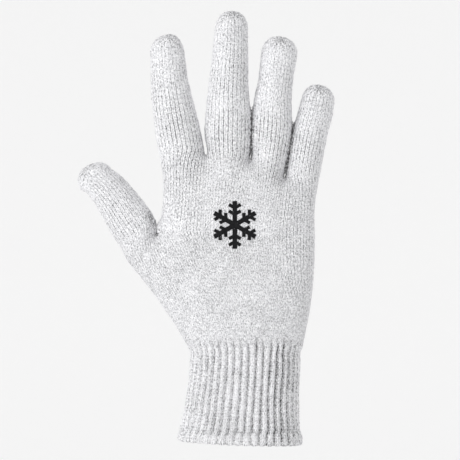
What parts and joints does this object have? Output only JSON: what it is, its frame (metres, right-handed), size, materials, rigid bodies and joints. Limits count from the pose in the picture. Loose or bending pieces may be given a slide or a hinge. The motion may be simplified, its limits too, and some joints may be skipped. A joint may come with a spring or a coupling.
{
  "type": "knitted glove liner",
  "caption": "Seamless knitted glove liner for a right hand, in worn form: five finger tubes on a hollow hand, ribbed cuff with an open mouth, small printed mark.",
  "frame": {"origin": "centre of the cuff's mouth, where the wrist enters", "axes": "+Z from the cuff to the fingertips, -Y is the back of the hand and +Y the palm, +X the little finger's side and -X the thumb's side"},
  "size_m": [0.1468, 0.054, 0.2497],
  "materials": {
    "knit": "soft, slightly felted knit",
    "rib_knit": "ribbed knit",
    "print": "matte print"
  },
  "bodies": {
    "root": {"index_stall": "knit", "middle_stall": "knit", "ring_stall": "knit", "little_stall": "knit", "thumb_stall": "knit", "upper_hand": "knit", "lower_hand": "knit", "rib_cuff": "rib_knit", "print_mark": "print"}
  },
  "joints": []
}
